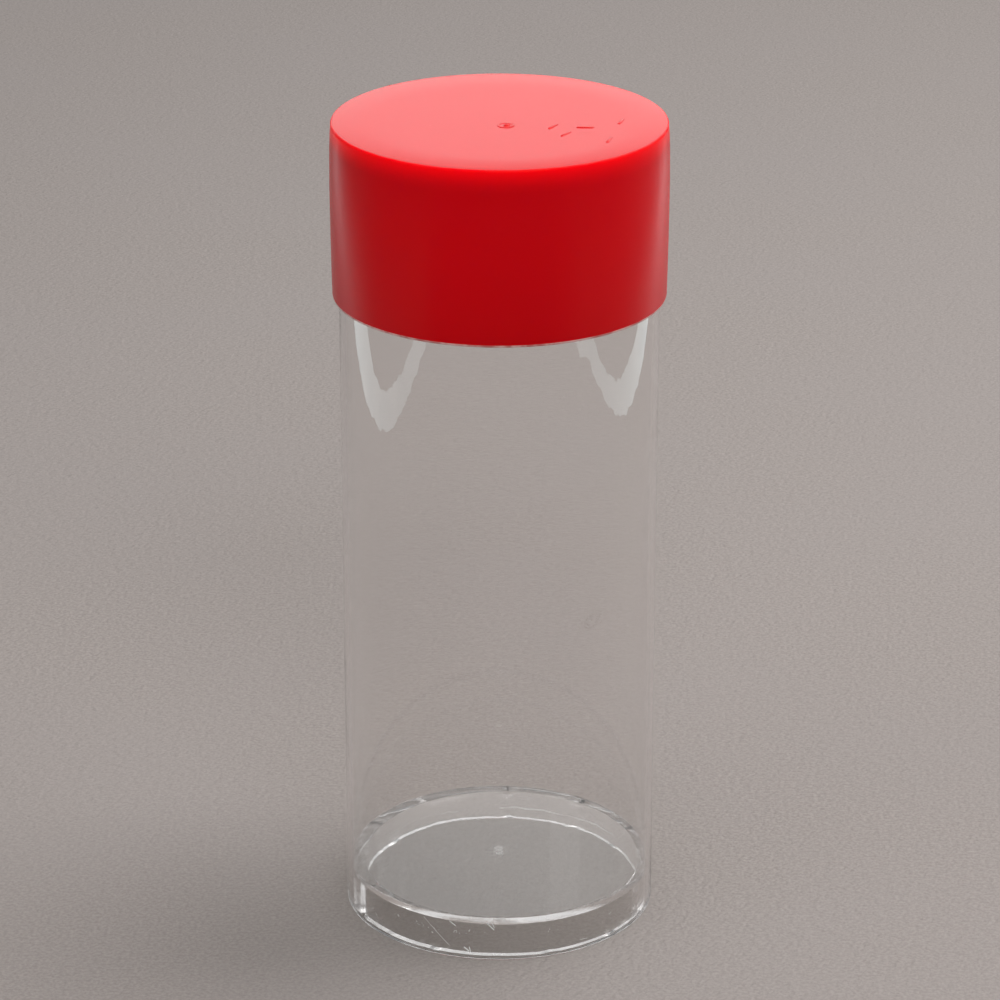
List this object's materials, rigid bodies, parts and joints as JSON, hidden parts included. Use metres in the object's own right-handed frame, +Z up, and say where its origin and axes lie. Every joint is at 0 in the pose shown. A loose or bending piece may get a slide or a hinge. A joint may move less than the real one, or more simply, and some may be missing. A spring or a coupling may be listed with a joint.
{
  "type": "drawing tube",
  "caption": "Clear plastic storage tube with a cemented moulded floor and a red slip-on cap that pulls off the top.",
  "frame": {"origin": "centre of the face that the tube stands on, at the tube's lower end", "axes": "+Z up along the tube's axis towards the cap; +X to the right and +Y away from a viewer who faces the front"},
  "size_m": [0.0798, 0.0798, 0.2009],
  "materials": {
    "clear_tube": "clear extruded plastic, polished, lightly scuffed",
    "clear_plug": "clear moulded plastic, glossy",
    "cement": "set solvent cement, clear to milky, uneven",
    "red_cap": "soft moulded plastic, semi-gloss, slightly translucent"
  },
  "bodies": {
    "vessel": {"tube": "clear_tube", "base_plug": "clear_plug", "cement_bead": "cement"},
    "lid": {"cap": "red_cap"}
  },
  "joints": [
    {"name": "cap_pull", "type": "slide", "parent": "vessel", "child": "lid", "axis": [0, 0, 1], "range_m": [0, 0.06]}
  ]
}
